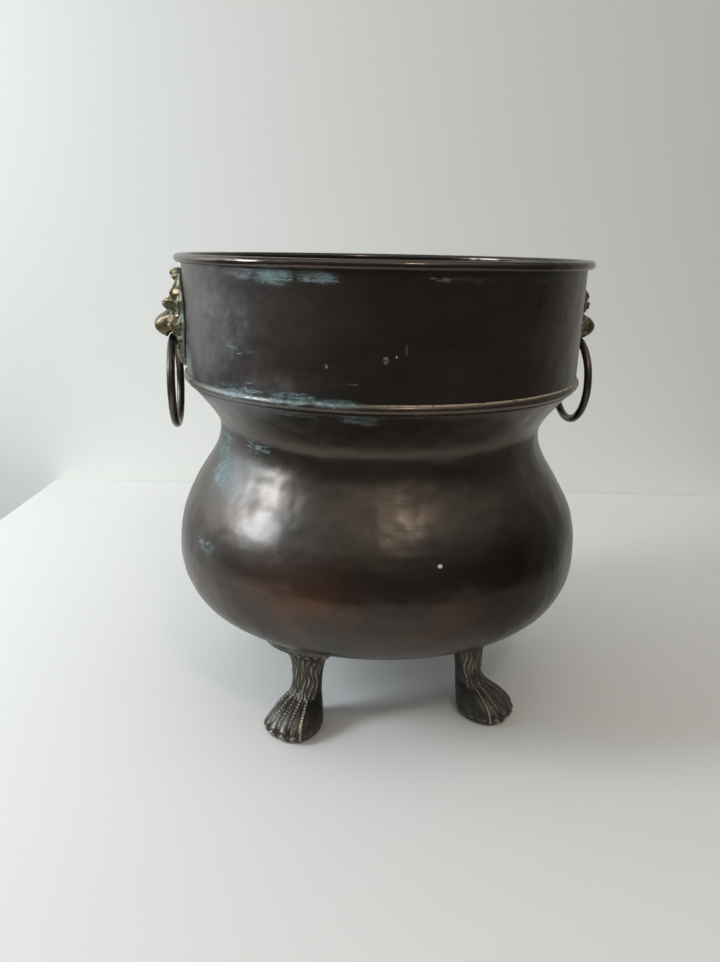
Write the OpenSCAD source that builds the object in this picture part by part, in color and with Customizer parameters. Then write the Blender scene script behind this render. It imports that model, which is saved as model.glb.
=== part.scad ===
// Copper cauldron: a raised copper bowl with a waist, a collar with a wired rim, and a
// half-round bead over their joint. Two cast lion masks carry ring handles, and four cast
// lion paws are the feet. Studs cast into the masks and feet take washers and nuts inside.
// Millimetres, +Z up. The origin is on the table, under the middle of the bowl.
// The masks face +X and -X, and the feet stand about half way between them.

/* [Collar] */
// Diameter over the rolled rim
rim_d = 260; // [252:1:268]
// Height of the collar, from its lower edge to the middle of the rolled rim
collar_h = 74; // [72:1:90]
// Amount by which the collar's radius shrinks from the rim to its lower edge
collar_taper = 0.6; // [0:0.1:1.5]
// Thickness of the copper sheet
sheet_t = 1; // [0.8:0.1:1.4]
// Diameter of the iron wire inside the rolled rim
rim_wire_d = 3; // [2.4:0.1:3.6]
// Height of the half-round bead
bead_h = 5.4; // [4:0.2:6.6]
// How far the bead stands out from the collar
bead_out = 1.8; // [1.2:0.1:2.4]
// Height of the bead's lower edge above the collar's lower edge
bead_up = 0.7; // [0.4:0.1:1.5]

/* [Bowl] */
// Height of the bowl's lowest point above the table
stand_h = 44; // [40:0.5:52]
// Height of the bowl, from its lowest point to the collar's lower edge
bowl_h = 175.5; // [170:0.5:186]
// Diameter of the waist
waist_d = 211.5; // [200:0.5:220]
// Height of the waist above the bowl's lowest point
waist_h = 147; // [142:0.5:150]
// Largest diameter of the belly
belly_d = 271.4; // [264:0.2:284]
// Height of the belly's widest level above the bowl's lowest point
belly_h = 67; // [62:0.5:74]
// Radius of the rounded bottom
bottom_r = 239; // [225:1:280]
// Diameter at which the rounded bottom turns up into the belly
bottom_d = 240; // [232:1:246]
// Height of the bowl's lip inside the collar
lip_h = 7; // [5:0.5:8]

/* [Lion masks] */
// Height of a mask from the beard's tip to the top of the mane
mask_h = 61.5; // [56:0.5:62.5]
// Width of a mask over its mane
mask_w = 56; // [50:1:60]
// How far the muzzle stands out from the collar
muzzle_out = 18.5; // [16.5:0.5:20]
// Thickness of the casting at the mask's edge
mask_edge = 1.8; // [1.2:0.1:2.4]
// Gap between the bead and the beard's tip
mask_gap = 0.6; // [0.4:0.1:1.6]

/* [Ring handles] */
// Outside diameter of a ring handle
ring_d = 59.5; // [56:0.5:62]
// Diameter of the ring's rod
rod_d = 4.2; // [3.6:0.1:4.6]
// Distance from the collar out to the middle of the rod in the mouth
mouth_out = 7.6; // [7.2:0.1:8.4]
// Play around the rod in the mouth
mouth_play = 0.4; // [0.3:0.05:0.7]

/* [Feet] */
// Diameter of the circle through the middles of the paws
foot_circle_d = 185; // [180:1:190]
// Length of a paw from heel to toes
paw_l = 37; // [34:0.5:39]
// Width of a paw over its toes
paw_w = 36; // [34:0.2:39]
// Height of a paw from the sole to the ankle
paw_h = 22; // [20:0.5:25]
// Depth of the grooves between the toes
toe_groove = 2.4; // [1.6:0.2:3]
// Width of the leg above the ankle
leg_w = 19.8; // [17:0.2:21.6]
// Thickness of the leg from front to back
leg_l = 15.6; // [14:0.2:17]
// Distance from the paw's middle back to the middle of the leg
leg_back = 13.2; // [12:0.2:14.2]
// Width of the flange that is seated on the bowl
flange_w = 48; // [42:1:54]
// Length of the flange from front to back
flange_l = 41; // [36:1:46]
// Thickness of the flange
flange_t = 5; // [3.6:0.2:6]

/* [Fasteners] */
// Diameter of the cast-in studs
stud_d = 5; // [4:0.5:5.5]
// Clearance of a stud in its hole through the sheet
stud_play = 0.4; // [0.2:0.1:0.8]
// Diameter of the washers
washer_d = 10; // [9:0.5:11]
// Thickness of the washers
washer_t = 1; // [0.8:0.1:1.4]
// Width of the nuts across their flats
nut_af = 8; // [7.5:0.1:9]
// Height of the nuts
nut_h = 4; // [3:0.2:5]

/* [Hidden] */

// Gap left where one piece is soldered, bolted or rolled against another
seat = 0.1;
// Play of the thread in a nut or washer
thread_play = 0.1;
// Length of stud that stands out of its nut
stud_end = 2;
// Depth to which a stud is rooted in its casting
stud_root = 2.5;
// Facets of the round work
$fn = 96;

// Levels, from the table up
collar_z = stand_h + bowl_h;
rim_z = collar_z + collar_h;
waist_z = stand_h + waist_h;
belly_z = stand_h + belly_h;
bead_z = collar_z + bead_up + bead_h / 2;
mask_z = bead_z + bead_h / 2 + mask_gap;

// The rolled rim: the sheet goes up inside the wire, over it and back under it
wire_hole_r = rim_wire_d / 2 + seat / 2;
roll_r = wire_hole_r + sheet_t;
roll_mid_r = rim_d / 2 - roll_r;
roll_end = 235;

// Outside radius of the collar's wall at a height
function wall_r(z) = roll_mid_r - wire_hole_r - collar_taper * (rim_z - z) / collar_h;

// Outer line of the bowl: Bezier spans from the lip down to the rounded bottom
lip_r = wall_r(collar_z) - sheet_t - seat / 2;
neck_turn = 50;
bottom_slope = asin(bottom_d / 2 / bottom_r);
bottom_edge_z = stand_h + bottom_r * (1 - cos(bottom_slope));
neck_pull = 21;
waist_pull = [6, 25];
belly_pull = [42, 17];
shoulder_pull = 12;
span_steps = 16;
bottom_steps = 10;

function bezier(p, q, r, s, n) = [
    for (i = [1:n])
        let (t = i / n, u = 1 - t)
        u * u * u * p + 3 * u * u * t * q + 3 * u * t * t * r + t * t * t * s
];
function turned(a) = [-cos(a), -sin(a)];

lip_foot = [lip_r, collar_z - seat];
waist = [waist_d / 2, waist_z];
belly = [belly_d / 2, belly_z];
bottom_edge = [bottom_d / 2, bottom_edge_z];
bowl_line = concat(
    [lip_foot],
    bezier(lip_foot, lip_foot + neck_pull * turned(neck_turn),
        waist + [0, waist_pull[0]], waist, span_steps),
    bezier(waist, waist - [0, waist_pull[1]],
        belly + [0, belly_pull[0]], belly, span_steps),
    bezier(belly, belly - [0, belly_pull[1]],
        bottom_edge - shoulder_pull * turned(bottom_slope), bottom_edge, span_steps),
    [for (i = [1:bottom_steps])
        let (a = bottom_slope * (1 - i / bottom_steps))
        [bottom_r * sin(a), stand_h + bottom_r * (1 - cos(a))]]
);

// The same line moved in by the sheet's thickness: level at the belly, upright at the
// middle of the bottom, and kept inside the lip
belly_i = 2 * span_steps;
middle_i = len(bowl_line) - 1;
function inward(i) =
    let (
        run = bowl_line[min(i + 1, middle_i)] - bowl_line[max(i - 1, 0)],
        side = i == belly_i ? [-1, 0] : i == middle_i ? [0, 1] : [run[1], -run[0]] / norm(run),
        p = bowl_line[i] + sheet_t * side
    )
    [p[1] > waist_z ? min(p[0], lip_r - sheet_t) : p[0], p[1]];
// Section of the sheet from one point of the line to another
function sheet_section(from, to) = concat(
    [for (i = [from:to]) bowl_line[i]],
    [for (i = [to:-1:from]) inward(i)]
);

// Underside of the rounded bottom at a radius
function under_z(r) = stand_h + bottom_r - sqrt(bottom_r * bottom_r - r * r);

// The bowl and its shoulder meet in a brazed seam at the belly's widest level
module bowl() {
    color("saddlebrown") difference() {
        rotate_extrude() polygon(sheet_section(belly_i, middle_i));
        for (i = [0:3]) at_foot(i) on_bottom(leg_r) stud_hole();
    }
}

module shoulder() {
    color("chocolate") rotate_extrude() polygon(concat(
        [[lip_r - sheet_t, collar_z + lip_h], [lip_r, collar_z + lip_h]],
        sheet_section(0, belly_i)
    ));
}

module collar() {
    color("sienna") difference() {
        rotate_extrude() {
            polygon([
                [wall_r(collar_z) - sheet_t, collar_z], [wall_r(collar_z), collar_z],
                [wall_r(rim_z), rim_z], [wall_r(rim_z) - sheet_t, rim_z]
            ]);
            translate([roll_mid_r, rim_z]) difference() {
                circle(roll_r);
                circle(wire_hole_r);
                polygon(2 * roll_r * [
                    [0, 0], [-1, 0], [-1, -1], [cos(roll_end), sin(roll_end)]
                ]);
            }
        }
        for (side = [0, 180], h = stud_heights) rotate(side) on_wall(h) stud_hole();
    }
}

module rim_wire() {
    color("dimgray") translate([0, 0, rim_z])
        rotate_extrude() translate([roll_mid_r, 0]) circle(rim_wire_d / 2, $fn = 24);
}

// Half-round wire: the part of a round section that stands out from the collar
module seam_bead() {
    bead_r = (bead_h * bead_h / 4 + bead_out * bead_out) / (2 * bead_out);
    face_r = wall_r(bead_z) + seat;
    color("peru") rotate_extrude() intersection() {
        translate([face_r + bead_out - bead_r, bead_z]) circle(bead_r, $fn = 48);
        translate([face_r, bead_z - bead_h]) square([bead_h, 2 * bead_h]);
    }
}

// Fasteners, drawn from the outer face of the sheet (z = 0) inwards (+z)
module stud_hole() {
    translate([0, 0, -2 * sheet_t]) cylinder(d = stud_d + stud_play, h = 5 * sheet_t, $fn = 32);
}

module stud() {
    stud_l = sheet_t + sag + washer_t + 2 * seat + nut_h + stud_end;
    translate([0, 0, -stud_root]) cylinder(d = stud_d, h = stud_root + stud_l, $fn = 32);
}

module washer() {
    translate([0, 0, sheet_t + sag]) difference() {
        cylinder(d = washer_d, h = washer_t, $fn = 48);
        translate([0, 0, -washer_t])
            cylinder(d = stud_d + thread_play, h = 3 * washer_t, $fn = 32);
    }
}

module nut() {
    translate([0, 0, sheet_t + sag + washer_t + seat]) difference() {
        cylinder(d = nut_af / cos(30), h = nut_h, $fn = 6);
        translate([0, 0, -nut_h])
            cylinder(d = stud_d + thread_play, h = 3 * nut_h, $fn = 32);
    }
}
// Lift that keeps a flat washer clear of the hollow side of the collar
sag = seat + washer_d * washer_d / 8 / (rim_d / 2 - 2 * roll_r - sheet_t);

// Places on the sheet, with +z pointing into the vessel
module on_wall(h) {
    translate([wall_r(mouth_z + h), 0, mouth_z + h]) rotate([0, -90, 0]) children();
}

module on_bottom(r) {
    translate([0, 0, stand_h + bottom_r]) rotate([0, -asin(r / bottom_r), 0])
        translate([0, 0, -bottom_r]) children();
}

module at_foot(i) {
    rotate(foot_bearings[i]) children();
}

// Lion mask: a face in relief, drawn on the unrolled wall round the mouth.
// s runs round the wall and h up from the mouth, both in the face's own units.
face_top = 42.7;
face_foot = 18.8;
face_half_w = 28;
face_out = 18.5;
face_mid_h = 11;
up_k = mask_h / (face_top + face_foot);
side_k = mask_w / 2 / face_half_w;
out_k = muzzle_out / face_out;
mouth_z = mask_z + face_foot * up_k;
low_stud_h = 10;
high_stud_h = 27;
stud_heights = [-low_stud_h * up_k, high_stud_h * up_k];
mask_rays = 72;
mask_rings = 18;
back_rings = 3;

// Reach of the mane from the face's middle, every 30 degrees from the beard to the top
mane_reach = [28.5, 23.5, 22.5, 26.5, 29.5, 30.5, 30.3];
function between(list, a) =
    let (
        turn = acos(cos(a)) / 30,
        i = min(floor(turn), len(list) - 2),
        t = (1 - cos(180 * (turn - i))) / 2
    )
    list[i] * (1 - t) + list[i + 1] * t;

// The mane hangs in two rows of curling locks, the inner row standing over the outer one.
// A row has the shares of the reach where it begins and ends, its height and its shift.
locks = 12;
lock_swell = 0.04;
lock_depth = 0.36;
lock_curl = 8;
mane_rows = [[0.7, 1.06, 3.8, 0], [0.46, 0.82, 4.6, 180 / locks]];
function lock_wave(a) = cos(locks * (a - 90));
function mane_r(a) = between(mane_reach, a + 90) * (1 + lock_swell * lock_wave(a));
function mane(a, rho) = [
    for (row = mane_rows)
        let (
            t = (rho - row[0]) / (row[1] - row[0]),
            side = cos(a) < 0 ? -1 : 1,
            wave = lock_wave(a + row[3] + side * lock_curl * t)
        )
        t > 0 && t < 1 ? row[2] * sin(180 * pow(t, 0.7)) * (1 - lock_depth + lock_depth * wave) : 0
];

// Swellings: place beside and above the mouth, half width, half height, reach and softness
swells = [
    [4, 8, 7.4, 10, 18.4, 0.6], // muzzle
    [0, 10, 3.4, 9.6, 16, 0.6], // middle of the muzzle
    [0, -2.8, 7.4, 5.6, 9, 0.7], // lower lip
    [0, 21, 5.6, 4.8, 13.9, 0.6], // nose
    [7.6, 22.6, 5.6, 3.4, 11.2, 0.7], // brows
    [8.8, 18.2, 3.2, 2.3, 10, 0.6], // eyes
    [8.6, 13.6, 6, 4.2, 9.4, 0.9], // below the eyes
    [14.4, 9.6, 7.4, 9.6, 8.8, 0.9], // cheeks
    [0, 27.6, 10, 5, 6.4, 0.8], // forehead
    [17, 27.4, 5, 6.2, 6.8, 0.7], // ears
    [0, 39.2, 4.2, 4.8, 7.3, 0.7], // tuft
    [7.6, 37.4, 3.8, 5, 6.8, 0.8], // locks beside the tuft
    [0, -12, 3.4, 7.4, 4.6, 0.8], // beard
    [6.2, -10.4, 3.4, 7, 4.4, 0.8] // locks beside the beard
];
blend = 4;
function swell(s, h, d) =
    let (e = 1 - pow((abs(s) - d[0]) / d[2], 2) - pow((h - d[1]) / d[3], 2))
    e > 0 ? d[4] * pow(e, d[5]) : 0;
function relief(s, h, a, rho) =
    let (f = concat([mask_edge / out_k], mane(a, rho), [for (d = swells) swell(s, h, d)]))
    out_k * pow([for (v = f) pow(v, blend)] * [for (v = f) 1], 1 / blend);

function on_face(s, h, out) =
    let (
        z = mouth_z + h * up_k,
        r = wall_r(z) + out,
        a = s * side_k / wall_r(mouth_z) * 180 / PI
    )
    [r * cos(a), r * sin(a), z];
function face_point(rho, ray, back) =
    let (
        a = 90 - 360 * ray / mask_rays,
        s = mane_r(a) * rho * cos(a),
        h = face_mid_h + mane_r(a) * rho * sin(a)
    )
    on_face(s, h, back ? seat : relief(s, h, a, rho));

// Closed surface from rings of equal length, with a point at each end. The squares between
// two rings are split one way in the first half of a ring and the other way in the second.
function ring_faces(rings, n) = concat(
    [for (j = [0:n - 1]) [0, 1 + j, 1 + (j + 1) % n]],
    [for (i = [0:rings - 2], j = [0:n - 1], half = [0, 1])
        let (a = 1 + i * n + j, b = 1 + i * n + (j + 1) % n)
        2 * j < n ? (half == 0 ? [a, a + n, b + n] : [a, b + n, b])
            : (half == 0 ? [a, a + n, b] : [b, a + n, b + n])],
    [for (j = [0:n - 1])
        let (a = 1 + (rings - 1) * n)
        [a + j, a + n, a + (j + 1) % n]]
);

module mask_casting() {
    front = [for (i = [1:mask_rings]) i / mask_rings];
    back = [for (i = [back_rings:-1:1]) i / back_rings];
    points = concat(
        [face_point(0, 0, false)],
        [for (rho = front, j = [0:mask_rays - 1]) face_point(rho, j, false)],
        [for (rho = back, j = [0:mask_rays - 1]) face_point(rho, j, true)],
        [face_point(0, 0, true)]
    );
    polyhedron(points, ring_faces(mask_rings + back_rings, mask_rays), convexity = 8);
}

// Way of the ring's rod through the muzzle, wide enough for every angle of the swing
mouth_r = wall_r(mouth_z) + mouth_out;
ring_mid_r = (ring_d - rod_d) / 2;
mouth_half = 12.5;
module mouth_way() {
    clear_r = rod_d / 2 + mouth_play;
    steps = 10;
    translate([mouth_r, 0, mouth_z]) rotate([90, 0, 0]) rotate_extrude() polygon(concat(
        [[0, -mouth_half]],
        [for (i = [-steps:steps])
            let (y = mouth_half * i / steps)
            [clear_r + ring_mid_r - sqrt(ring_mid_r * ring_mid_r - y * y), y]],
        [[0, mouth_half]]
    ));
}

module mask() {
    color("darkkhaki") {
        difference() {
            mask_casting();
            mouth_way();
        }
        for (h = stud_heights) on_wall(h) stud();
    }
}

module ring_handle() {
    color("darkslategray") translate([mouth_r, 0, mouth_z - ring_mid_r]) rotate([0, 90, 0])
        rotate_extrude() translate([ring_mid_r, 0]) circle(rod_d / 2, $fn = 32);
}

module left_mask() rotate(180) mask();
module left_mask_washers() color("tan") rotate(180) for (h = stud_heights) on_wall(h) washer();
module left_mask_nuts() color("gray") rotate(180) for (h = stud_heights) on_wall(h) nut();
module left_ring() rotate(180) ring_handle();

module right_mask() mask();
module right_mask_washers() color("tan") for (h = stud_heights) on_wall(h) washer();
module right_mask_nuts() color("gray") for (h = stud_heights) on_wall(h) nut();
module right_ring() ring_handle();

// Paw foot: sections lofted from the sole to the flange under the bowl.
// u runs outwards from the paw's middle and v runs round the vessel.
foot_r = foot_circle_d / 2;
leg_r = foot_r - leg_back;
toe_turn = 24;
toe_points = 6;
heel_points = 18;
flange_back = 14;
flange_front = flange_l - flange_back;
// Bearings of the feet. They were set by eye, so the quarters between them differ a little.
foot_bearings = [47, 137, 228.5, 316];

// Paw sections: height, heel, toe and half width as shares of the paw, and groove depth
paw_sections = [
    [0, -0.37, 0.41, 0.41, 1],
    [0.07, -0.435, 0.49, 0.47, 1],
    [0.22, -0.475, 0.535, 0.50, 1],
    [0.36, -0.495, 0.51, 0.485, 1],
    [0.48, -0.51, 0.445, 0.46, 0.8],
    [0.58, -0.52, 0.375, 0.435, 0.8],
    [0.67, -0.53, 0.30, 0.405, 0.9],
    [0.76, -0.54, 0.205, 0.375, 0.9],
    [0.85, -0.55, 0.09, 0.34, 0.7],
    [0.93, -0.56, -0.01, 0.31, 0.6],
    [1, -0.565, -0.085, 0.285, 0.5]
];
// Leg sections: height between ankle and flange, lean of the leg's middle, swell, groove
leg_sections = [
    [0.12, 0, 1, 0.4],
    [0.33, -0.4, 1, 0.35],
    [0.54, -0.8, 1.06, 0.3],
    [0.72, -1.1, 1.17, 0.3],
    [0.86, -1.2, 1.36, 0.3]
];
// Claws: radii at the root and the tip, length, lean, and how deep the root sits in the toe
claw_r = [1.8, 1.2];
claw_l = 4.2;
claw_lean = 105;
claw_depth = 1.2;

// Turns of the points of a section: close together over the toes, wider at the heel
toe_half = 2 * toe_turn;
section_turns = concat(
    [for (i = [0:4 * toe_points - 1]) -toe_half + toe_turn * i / toe_points],
    [for (i = [0:heel_points - 1]) toe_half + (360 - 2 * toe_half) * i / heel_points]
);
section_count = len(section_turns);

// Grooves lie at the middle of the foot and one toe to each side of it
function groove(a) = abs(a) < toe_half ? 1 - sqrt(abs(sin(180 * a / toe_turn))) : 0;
fullness = 0.88;
function squared(c) = sign(c) * pow(abs(c), fullness);
function section(back, front, half_w, depth) = [
    for (a = section_turns)
        let (
            mid = (front + back) / 2,
            half_l = (front - back) / 2,
            k = 1 - depth * toe_groove * groove(a > 180 ? a - 360 : a) / half_l
        )
        [mid + half_l * k * squared(cos(a)), half_w * k * squared(sin(a))]
];

leg_top_z = under_z(leg_r) - flange_t;
paw_rings = [
    for (p = paw_sections)
        [for (q = section(p[1] * paw_l, p[2] * paw_l, p[3] * paw_w, p[4]))
            [q[0], q[1], p[0] * paw_h]]
];
leg_rings = [
    for (p = leg_sections)
        let (mid = p[1] - leg_back, half_l = p[2] * leg_l / 2)
        [for (q = section(mid - half_l, mid + half_l, p[2] * leg_w / 2, p[3]))
            [q[0], q[1], paw_h + p[0] * (leg_top_z - paw_h)]]
];

// Flange outline: two wings beside the leg, from reaches at every 30 degrees
wing_reach = [0.92, 1, 1, 0.72, 0.5, 0.46, 0.46];
wing_half = 0.56 * flange_w;
function flange_reach(a) =
    between(wing_reach, a) * [flange_front * cos(a), wing_half * sin(a)];
flange_line = [for (a = section_turns) flange_reach(a) - [leg_back, 0]];

function seat_z(q) = under_z(norm([foot_r + q[0], q[1]])) - seat;
leg_end = leg_rings[len(leg_rings) - 1];
flare_steps = [0.3, 0.65];
flare_rings = [
    for (t = flare_steps)
        [for (j = [0:section_count - 1])
            let (q = leg_end[j] * (1 - t) + concat(flange_line[j], [0]) * t, lift = sqrt(t))
            [q[0], q[1], leg_end[j][2] * (1 - lift) + (seat_z(q) - flange_t) * lift]]
];
// Flange sections: share of the outline, and share of the thickness below the bowl
flange_sections = [[1, 1], [1.02, 0.6], [1, 0], [0.7, 0], [0.35, 0]];
flange_rings = [
    for (step = flange_sections)
        [for (q = flange_line)
            let (p = [(q[0] + leg_back) * step[0] - leg_back, q[1] * step[0]])
            [p[0], p[1], seat_z(p) - step[1] * flange_t]]
];

module foot_casting() {
    rings = concat(paw_rings, leg_rings, flare_rings, flange_rings);
    points = concat(
        [[0, 0, 0]],
        [for (ring = rings, p = ring) p],
        [[-leg_back, 0, seat_z([-leg_back, 0])]]
    );
    polyhedron(points, ring_faces(len(rings), section_count), convexity = 8);
}

// Each toe ends in a claw that points down to the table
module claws() {
    widest = paw_sections[2];
    mid = (widest[1] + widest[2]) / 2 * paw_l;
    for (toe = [-1.5:1.5])
        let (
            a = toe * toe_turn,
            tip = [
                mid + (widest[2] * paw_l - mid) * squared(cos(a)),
                widest[3] * paw_w * squared(sin(a))
            ]
        )
        translate([tip[0], tip[1], widest[0] * paw_h]) rotate(a)
            translate([-claw_depth, 0, claw_r[0] / 2]) rotate([0, 90 + claw_lean, 0])
            cylinder(r1 = claw_r[0], r2 = claw_r[1], h = claw_l, $fn = 8);
}

module foot(i) {
    color("darkolivegreen") at_foot(i) {
        translate([foot_r, 0, 0]) {
            foot_casting();
            claws();
        }
        on_bottom(leg_r) stud();
    }
}

module foot_washer(i) {
    color("tan") at_foot(i) on_bottom(leg_r) washer();
}

module foot_nut(i) {
    color("gray") at_foot(i) on_bottom(leg_r) nut();
}

module back_right_foot() foot(0);
module back_left_foot() foot(1);
module front_left_foot() foot(2);
module front_right_foot() foot(3);
module back_right_foot_washer() foot_washer(0);
module back_left_foot_washer() foot_washer(1);
module front_left_foot_washer() foot_washer(2);
module front_right_foot_washer() foot_washer(3);
module back_right_foot_nut() foot_nut(0);
module back_left_foot_nut() foot_nut(1);
module front_left_foot_nut() foot_nut(2);
module front_right_foot_nut() foot_nut(3);

bowl();
shoulder();
collar();
rim_wire();
seam_bead();
left_mask();
left_mask_washers();
left_mask_nuts();
left_ring();
right_mask();
right_mask_washers();
right_mask_nuts();
right_ring();
front_left_foot();
front_left_foot_washer();
front_left_foot_nut();
front_right_foot();
front_right_foot_washer();
front_right_foot_nut();
back_left_foot();
back_left_foot_washer();
back_left_foot_nut();
back_right_foot();
back_right_foot_washer();
back_right_foot_nut();
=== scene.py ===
# %% [markdown]
# # A copper cauldron with lion masks
# The cauldron is a raised copper bowl with a waist, a straight collar rolled over an iron
# wire, and a half-round bead over the joint. Cast lion masks hold the ring handles, and cast
# lion paws are the feet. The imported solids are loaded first, as a fixed frame in metres: the
# pieces that show their age are modelled again here, and the others only get a finish.

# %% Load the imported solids
import math

import bpy
from mathutils import Matrix, Vector
from mathutils.bvhtree import BVHTree


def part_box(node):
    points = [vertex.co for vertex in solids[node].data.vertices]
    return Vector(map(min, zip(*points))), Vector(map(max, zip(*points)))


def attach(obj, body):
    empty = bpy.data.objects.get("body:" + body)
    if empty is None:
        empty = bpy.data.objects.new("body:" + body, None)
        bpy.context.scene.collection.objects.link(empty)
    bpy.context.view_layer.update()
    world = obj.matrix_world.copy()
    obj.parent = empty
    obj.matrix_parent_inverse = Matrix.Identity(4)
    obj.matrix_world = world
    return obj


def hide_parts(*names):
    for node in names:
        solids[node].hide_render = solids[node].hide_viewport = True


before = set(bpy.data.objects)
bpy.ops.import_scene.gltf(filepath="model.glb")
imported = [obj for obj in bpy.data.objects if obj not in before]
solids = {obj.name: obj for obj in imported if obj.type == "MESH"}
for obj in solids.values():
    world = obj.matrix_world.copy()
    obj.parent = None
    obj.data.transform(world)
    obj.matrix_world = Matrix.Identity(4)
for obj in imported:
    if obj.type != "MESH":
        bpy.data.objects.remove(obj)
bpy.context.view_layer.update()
mm = 0.001

# %% [markdown]
# ## The camera
# A render can only be compared with a photograph from the same place, so the camera comes
# first. Its height, distance, tilt and lens were worked out from the ellipses of the rim and
# the bead. The cauldron stands turned by nine degrees, with its left mask nearer the camera;
# the solids never turn, so the camera and everything on stage turn the other way.

# %% Place the camera
ROOM_TURN = math.radians(-9)
CAMERA_DISTANCE = 498 * mm
CAMERA_HEIGHT = 302.6 * mm
CAMERA_TILT = math.radians(17.48)
CAMERA_PAN = math.radians(1.4)
CAMERA_ROLL = math.radians(1.06)
LENS_MM = 28.07

room = Matrix.Rotation(ROOM_TURN, 4, "Z")


def in_room(x, y, z):
    """A place given as the camera sees it: x to the right, y away from it, z up, in metres."""
    return room @ Vector((x, y, z))


camera_data = bpy.data.cameras.new("camera")
camera_data.lens = LENS_MM
camera_data.sensor_width = 36
camera_data.clip_start = 0.01
camera = bpy.data.objects.new("camera", camera_data)
bpy.context.scene.collection.objects.link(camera)
bpy.context.scene.camera = camera
camera.matrix_world = (
    Matrix.Translation(in_room(0, -CAMERA_DISTANCE, CAMERA_HEIGHT))
    @ Matrix.Rotation(ROOM_TURN + CAMERA_PAN, 4, "Z")
    @ Matrix.Rotation(math.pi / 2 - CAMERA_TILT, 4, "X")
    @ Matrix.Rotation(CAMERA_ROLL, 4, "Z")
)
print("camera at", [round(v, 3) for v in camera.matrix_world.translation])

# %% [markdown]
# ## Tools for the bench
# Blender's operators work on what is selected, as a hand does, so each helper first says
# what it works on. A finished piece keeps its object at the origin and its place in its
# mesh, so that patterns on Object coordinates stay where they are painted.

# %% Select, name, apply and join
def take(*pieces):
    """Selects these pieces and nothing else. The first is the active one."""
    bpy.ops.object.select_all(action="DESELECT")
    for piece in pieces:
        piece.select_set(True)
    bpy.context.view_layer.objects.active = pieces[0]


def named(name):
    """Names the active piece and its mesh."""
    piece = bpy.context.object
    piece.name = name
    piece.data.name = name
    return piece


def settle(piece):
    """Moves a piece's place, turn and size into its mesh."""
    take(piece)
    bpy.ops.object.transform_apply(location=True, rotation=True, scale=True)
    return piece


def work(piece, kind, **settings):
    """Adds a modifier with its settings, and applies it."""
    take(piece)
    step = piece.modifiers.new(kind.lower(), kind)
    for name, value in settings.items():
        setattr(step, name, value)
    bpy.ops.object.modifier_apply(modifier=step.name)
    return piece


def fuse(name, *pieces):
    """Joins pieces into one object with one mesh."""
    take(*pieces)
    bpy.ops.object.join()
    return settle(named(name))


def turned_copy(piece, name, turn):
    """A copy with a mesh of its own, turned round the vessel's axis."""
    take(piece)
    bpy.ops.object.duplicate()
    made = named(name)
    made.rotation_euler.z = turn
    return settle(made)


def carve(piece, cutter):
    """Cuts one closed shape out of a piece, and puts the cutter away."""
    work(piece, "BOOLEAN", object=cutter, operation="DIFFERENCE", solver="EXACT")
    bpy.data.objects.remove(cutter)
    return piece


def smooth(piece, degrees=40):
    take(piece)
    bpy.ops.object.shade_smooth_by_angle(angle=math.radians(degrees))
    return piece


def painted(piece, finish):
    piece.data.materials.clear()
    piece.data.materials.append(finish)
    return piece


def stands_for(piece, body, slot, *nodes):
    """Says what the piece moves with and which solids it stands for. Its slot is not used."""
    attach(piece, body)
    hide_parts(*nodes)
    print(piece.name, "has", len(piece.data.polygons), "faces and stands for", *nodes)


def steps(first, last, count):
    return [first + (last - first) * i / count for i in range(count + 1)]


# %% [markdown]
# ## The stage
# A white table against a pale wall, with the corner of the table just in view at the left.
# The belly mirrors the table up to its front edge, then the dim room behind the camera, so
# the table ends where the reflection says and a grey floor lies below it. The wall is clear
# from behind, so that the back of the cauldron can be looked at too.

# %% Make paints, the table, the floor and the wall
def srgb(red, green, blue):
    """A colour as a paint chart gives it, from 0 to 255, as the linear one Blender wants."""
    levels = [v / 255 for v in (red, green, blue)]
    return tuple(v / 12.92 if v < 0.04045 else ((v + 0.055) / 1.055) ** 2.4 for v in levels) + (1,)


TABLE_COLOUR = srgb(224, 224, 223)
WALL_COLOUR = srgb(241, 241, 237)
FLOOR_COLOUR = srgb(96, 94, 92)
WALL_BEHIND = 437 * mm
TABLE_LEFT = -425 * mm
TABLE_RIGHT = 480 * mm
TABLE_FRONT = -500 * mm
TABLE_THICK = 28 * mm
TABLE_STANDS = 740 * mm
STAGE_SIZE = 8


def matt_paint(name, colour):
    paint = bpy.data.materials.new(name)
    paint.use_nodes = True
    surface = paint.node_tree.nodes["Principled BSDF"]
    surface.inputs["Base Color"].default_value = colour
    surface.inputs["Roughness"].default_value = 0.75
    return paint


def stage_plane(name, place, turn, colour):
    bpy.ops.object.select_all(action="DESELECT")
    bpy.ops.mesh.primitive_plane_add(size=STAGE_SIZE, location=place, rotation=turn)
    plane = painted(named(name), matt_paint(name, colour))
    return plane


bpy.ops.object.select_all(action="DESELECT")
bpy.ops.mesh.primitive_cube_add(
    size=1,
    location=in_room((TABLE_LEFT + TABLE_RIGHT) / 2, (TABLE_FRONT + WALL_BEHIND) / 2, -TABLE_THICK / 2),
    rotation=(0, 0, ROOM_TURN),
    scale=(TABLE_RIGHT - TABLE_LEFT, WALL_BEHIND - TABLE_FRONT, TABLE_THICK))
table = painted(settle(named("table")), matt_paint("table", TABLE_COLOUR))
work(table, "BEVEL", width=3 * mm, segments=3)
floor = stage_plane("floor", (0, 0, -TABLE_STANDS), (0, 0, ROOM_TURN), FLOOR_COLOUR)
wall = stage_plane(
    "wall", in_room(0, WALL_BEHIND, 0), (math.pi / 2, 0, ROOM_TURN), WALL_COLOUR)
wall_tree = wall.data.materials[0].node_tree
see_through = wall_tree.nodes.new("ShaderNodeBsdfTransparent")
which_side = wall_tree.nodes.new("ShaderNodeNewGeometry")
one_sided = wall_tree.nodes.new("ShaderNodeMixShader")
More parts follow.
